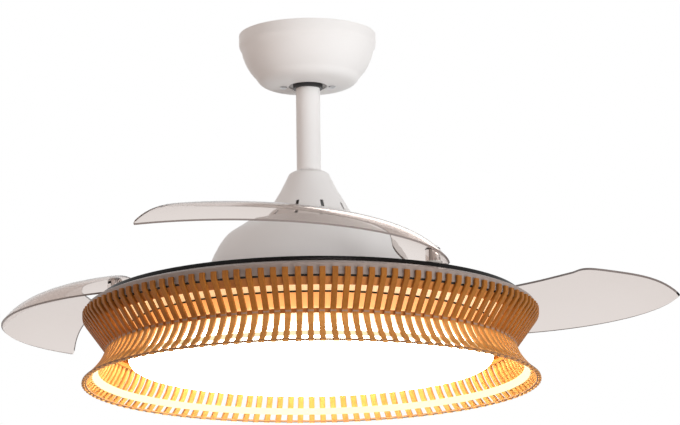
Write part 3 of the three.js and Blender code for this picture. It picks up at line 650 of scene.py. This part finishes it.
wl.new(w_in.outputs["Deep"], w_mix.inputs["B"])
wl.new(w_fibre.outputs["Fac"], w_gloss.inputs["Value"])
wl.new(w_mix.outputs["Result"], w_out.inputs["Color"])
wl.new(w_gloss.outputs["Result"], w_out.inputs["Roughness"])
wl.new(w_fibre.outputs["Fac"], w_out.inputs["Height"])


def wooden(name, pale_tone, deep_tone, by_slat=False):
    material = bpy.data.materials.new(name)
    material.use_nodes = True
    n, l = material.node_tree.nodes, material.node_tree.links
    shader = n["Principled BSDF"]
    grain = n.new("ShaderNodeGroup")
    grain.node_tree = wood_group
    grain.inputs["Pale"].default_value = (*pale_tone, 1)
    grain.inputs["Deep"].default_value = (*deep_tone, 1)
    colour = grain.outputs["Color"]
    if by_slat:
        own = n.new("ShaderNodeAttribute")
        own.attribute_name = "slat_tone"
        l.new(own.outputs["Fac"], grain.inputs["Tone"])
        # Above the waist the colour is multiplied darker: painted shade on the upper segments, whose
        # outer faces turn down and away from the light.
        spot, split = n.new("ShaderNodeTexCoord"), n.new("ShaderNodeSeparateXYZ")
        height, upper_painted_shade = n.new("ShaderNodeMapRange"), n.new("ShaderNodeMix")
        height.inputs["From Min"].default_value = up(32.0)
        height.inputs["From Max"].default_value = up(41.0)
        upper_painted_shade.data_type, upper_painted_shade.blend_type = "RGBA", "MULTIPLY"
        upper_painted_shade.inputs["B"].default_value = (0.46, 0.37, 0.20, 1)
        l.new(spot.outputs["Object"], split.inputs["Vector"])
        l.new(split.outputs["Z"], height.inputs["Value"])
        l.new(height.outputs["Result"], upper_painted_shade.inputs["Factor"])
        l.new(colour, upper_painted_shade.inputs["A"])
        colour = upper_painted_shade.outputs["Result"]
    relief = n.new("ShaderNodeBump")
    shader.inputs["Specular IOR Level"].default_value = 0.3
    relief.inputs["Strength"].default_value = 0.25
    relief.inputs["Distance"].default_value = 0.0003
    l.new(colour, shader.inputs["Base Color"])
    l.new(grain.outputs["Roughness"], shader.inputs["Roughness"])
    l.new(grain.outputs["Height"], relief.inputs["Height"])
    l.new(relief.outputs["Normal"], shader.inputs["Normal"])
    return material


slat_wood = wooden("slat_wood", (0.77, 0.357, 0.093), (0.42, 0.168, 0.037), by_slat=True)
slat_line = [(248.4, 79.6), (248.4, 76.4), (248.4, 74.2), (248.1, 72.8), (247.2, 71.3)]
slat_line += [(247.2 - 22.0 * k / 5, 71.3 - 30.3 * k / 5) for k in range(1, 6)]
slat_line += [(224.1, 39.7), (223.6, 38.6), (223.5, 37.2), (223.8, 36.0)]
slat_line += [(224.2 + 0.2897 * u + 0.0135 * u * u, 35.4 - u) for u in
              (0.6, 4.5, 9.0, 13.5, 18.0, 22.5, 27.0, 31.0)]
slat_line += [(248.6, 2.8), (249.4, 1.6), (249.6, 0.75)]
line_mesh = bpy.data.meshes.new("slats")
line_mesh.from_pydata([(r / 1000, 0.0, up(h)) for r, h in slat_line],
                      [(k, k + 1) for k in range(len(slat_line) - 1)], [])
slats = bpy.data.objects.new("slats", line_mesh)
scene.collection.objects.link(slats)

# The tree takes one shape and sets copies of it round the fan's axis.
slat_tree = bpy.data.node_groups.new("slats_around", "GeometryNodeTree")
socket(slat_tree, "Geometry", "NodeSocketGeometry", "INPUT")
socket(slat_tree, "Count", "NodeSocketInt", "INPUT", 120)
socket(slat_tree, "First Angle", "NodeSocketFloat", "INPUT", 0.0)
socket(slat_tree, "Width", "NodeSocketFloat", "INPUT", 0.006)
socket(slat_tree, "Thickness", "NodeSocketFloat", "INPUT", 0.0036)
socket(slat_tree, "Corner", "NodeSocketFloat", "INPUT", 0.0005)
socket(slat_tree, "Unevenness", "NodeSocketFloat", "INPUT", 0.0)
socket(slat_tree, "Finish", "NodeSocketMaterial", "INPUT")
socket(slat_tree, "Geometry", "NodeSocketGeometry", "OUTPUT")
tn, tl = slat_tree.nodes, slat_tree.links
t_in, t_out = tn.new("NodeGroupInput"), tn.new("NodeGroupOutput")
t_curve, t_section, t_round = (tn.new("GeometryNodeMeshToCurve"),
                               tn.new("GeometryNodeCurvePrimitiveQuadrilateral"),
                               tn.new("GeometryNodeFilletCurve"))
t_sweep = tn.new("GeometryNodeCurveToMesh")
t_sweep.inputs["Fill Caps"].default_value = True
t_points, t_set = tn.new("GeometryNodePoints"), tn.new("GeometryNodeInstanceOnPoints")
t_index, t_turn, t_angle = (tn.new("GeometryNodeInputIndex"), tn.new("ShaderNodeMath"),
                            tn.new("ShaderNodeMath"))
t_turn.operation = "DIVIDE"
t_angle.operation = "MULTIPLY_ADD"
t_jitter, t_total, t_vector = (tn.new("FunctionNodeRandomValue"), tn.new("ShaderNodeMath"),
                               tn.new("ShaderNodeCombineXYZ"))
t_jitter.inputs["Min"].default_value = -1.0
t_jitter.inputs["Seed"].default_value = 11
t_total.operation = "MULTIPLY_ADD"
t_tone, t_store = tn.new("FunctionNodeRandomValue"), tn.new("GeometryNodeStoreNamedAttribute")
t_tone.inputs["Seed"].default_value = 4
t_tone.inputs["Min"].default_value, t_tone.inputs["Max"].default_value = 0.3, 0.7
t_store.domain = "INSTANCE"
t_store.inputs["Name"].default_value = "slat_tone"
t_real, t_finish = tn.new("GeometryNodeRealizeInstances"), tn.new("GeometryNodeSetMaterial")
t_angle.inputs[1].default_value = 2 * math.pi
tl.new(t_in.outputs["Geometry"], t_curve.inputs["Mesh"])
tl.new(t_in.outputs["Width"], t_section.inputs["Height"])
tl.new(t_in.outputs["Thickness"], t_section.inputs["Width"])
tl.new(t_section.outputs["Curve"], t_round.inputs["Curve"])
tl.new(t_in.outputs["Corner"], t_round.inputs["Radius"])
tl.new(t_curve.outputs["Curve"], t_sweep.inputs["Curve"])
tl.new(t_round.outputs["Curve"], t_sweep.inputs["Profile Curve"])
tl.new(t_in.outputs["Count"], t_points.inputs["Count"])
tl.new(t_points.outputs["Points"], t_set.inputs["Points"])
tl.new(t_sweep.outputs["Mesh"], t_set.inputs["Instance"])
tl.new(t_index.outputs["Index"], t_turn.inputs[0])
tl.new(t_in.outputs["Count"], t_turn.inputs[1])
tl.new(t_turn.outputs[0], t_angle.inputs[0])
tl.new(t_in.outputs["First Angle"], t_angle.inputs[2])
tl.new(t_jitter.outputs["Value"], t_total.inputs[0])
tl.new(t_in.outputs["Unevenness"], t_total.inputs[1])
tl.new(t_angle.outputs[0], t_total.inputs[2])
tl.new(t_total.outputs[0], t_vector.inputs["Z"])
tl.new(t_vector.outputs["Vector"], t_set.inputs["Rotation"])
tl.new(t_set.outputs["Instances"], t_store.inputs["Geometry"])
tl.new(t_tone.outputs["Value"], t_store.inputs["Value"])
tl.new(t_store.outputs["Geometry"], t_real.inputs["Geometry"])
tl.new(t_real.outputs["Geometry"], t_finish.inputs["Geometry"])
tl.new(t_in.outputs["Finish"], t_finish.inputs["Material"])
tl.new(t_finish.outputs["Geometry"], t_out.inputs["Geometry"])


def grown(piece, tree, **values):
    """Runs a Geometry Nodes tree on a piece with the given inputs and keeps the plain mesh."""
    growth = piece.modifiers.new("growth", "NODES")
    growth.node_group = tree
    names = {item.name: item.identifier for item in tree.interface.items_tree
             if item.item_type == "SOCKET" and item.in_out == "INPUT"}
    for label, value in values.items():
        growth[names[label.replace("_", " ")]] = value
    applied(piece)
    bm = bmesh.new()
    bm.from_mesh(piece.data)
    bmesh.ops.remove_doubles(bm, verts=bm.verts, dist=1e-7)
    bmesh.ops.recalc_face_normals(bm, faces=bm.faces)
    bm.to_mesh(piece.data)
    bm.free()
    for face in piece.data.polygons:
        face.use_smooth = True
    piece.data.set_sharp_from_angle(angle=math.radians(35))


SLAT_COUNT, FIRST_SLAT, UNEVENNESS = 120, math.radians(-90), 0.0016
grown(slats, slat_tree, Count=SLAT_COUNT, First_Angle=FIRST_SLAT, Width=0.0062,
      Thickness=0.0036, Corner=0.0006, Unevenness=UNEVENNESS, Finish=slat_wood)
fit(slats, "hung_fan", slat_wood, "slat_wood", *[f"slat_bank_{k}" for k in range(1, 11)])

# Where each slat is pinned to the waist hoop its outer face is filled flat; the filling's pale grey
# tone is painted sheen, and it takes none of the painted shade.
painted_sheen_wood = wooden("waist_filler", (0.36, 0.235, 0.175), (0.25, 0.155, 0.11))
fill_mesh = bpy.data.meshes.new("waist_fillings")
fill_mesh.from_pydata([(0.22495, 0.0, up(h)) for h in (40.9, 38.6, 36.2)], [(0, 1), (1, 2)], [])
fillings = bpy.data.objects.new("waist_fillings", fill_mesh)
scene.collection.objects.link(fillings)
grown(fillings, slat_tree, Count=SLAT_COUNT, First_Angle=FIRST_SLAT, Width=0.0063,
      Thickness=0.0010, Corner=0.0003, Unevenness=UNEVENNESS, Finish=painted_sheen_wood)
fit(fillings, "hung_fan", painted_sheen_wood, "slat_wood")

# ------------------------------------------------------------------ hoops and rim of the shade
# Bent wood: one hoop under the trim ring, one at the waist, and a thin ring behind the slats' feet.
# The pale strip inside the foot of the slats is translucent; its glow is painted light, not a lamp. A
# small plate joins it.
hoop_wood = wooden("hoop_wood", (0.56, 0.22, 0.055), (0.34, 0.12, 0.03))
rim_wood = wooden("rim_wood", (0.28, 0.135, 0.064), (0.21, 0.098, 0.044))
top_hoop = turned("top_hoop", [(238.9, 62.6), (244.4, 70.2), (242.8, 70.2), (237.3, 62.6)],
                  steps=180, rounding=0.25)
fit(top_hoop, "hung_fan", hoop_wood, "slat_wood", "shade_top_hoop")
waist_hoop = turned("waist_hoop", [(219.8, 36.0), (222.0, 36.0), (222.0, 40.8), (219.8, 40.8)],
                    steps=180, rounding=0.3)
fit(waist_hoop, "hung_fan", hoop_wood, "slat_wood")
rim = turned("shade_rim_turned", [(246, 1.5), (251, 1.5), (251, 3.4), (246, 3.4)], steps=240,
             rounding=0.4)
fit(rim, "hung_fan", rim_wood, "slat_wood", "shade_rim")

# The strip's emission is painted light from the lamp inside the shade; the strip itself gives no
# light.
strip_painted_glow = bpy.data.materials.new("strip_painted_glow")
strip_painted_glow.use_nodes = True
strip = strip_painted_glow.node_tree.nodes["Principled BSDF"]
strip.inputs["Base Color"].default_value = (0.28, 0.25, 0.13, 1)
strip.inputs["Roughness"].default_value = 0.5
strip.inputs["Emission Color"].default_value = (1.0, 0.92, 0.60, 1)
strip.inputs["Emission Strength"].default_value = 0.82
bottom_hoop = turned("bottom_hoop", [(240.3, 8.6), (234.5, 14.8), (232.9, 14.8), (238.7, 8.6)],
                     steps=180, rounding=0.25)
fit(bottom_hoop, "hung_fan", strip_painted_glow, "hoop_cream", "shade_bottom_hoop")

clip_turn = Matrix(((1, 0, 0), (0, -0.683, -0.730), (0, 0.730, -0.683))).to_4x4()
clip = bmesh.new()
for size, place in (((15.0, 6.4, 0.9), (0.0, 0.0, 0.55)), ((1.3, 1.3, 0.5), (-5.0, 0.0, 1.15)),
                    ((1.3, 1.3, 0.5), (5.0, 0.0, 1.15))):
    verts = bmesh.ops.create_cube(clip, size=0.001)["verts"]
    bmesh.ops.scale(clip, verts=verts, vec=size)
    bmesh.ops.translate(clip, verts=verts, vec=[v / 1000 for v in place])
bmesh.ops.transform(clip, verts=clip.verts,
                    matrix=Matrix.Translation((0, 0.2358, up(11.7))) @ clip_turn)
for face in clip.faces:
    face.material_index = 0 if max(edge.calc_length() for edge in face.edges) > 0.005 else 1
clip_mesh = bpy.data.meshes.new("strip_clip")
clip.to_mesh(clip_mesh)
clip.free()
strip_clip = placed("strip_clip", clip_mesh, rounding=0.15)
clip_mesh.materials.append(strip_painted_glow)
clip_mesh.materials.append(grey_moulding)
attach(strip_clip, "hung_fan")
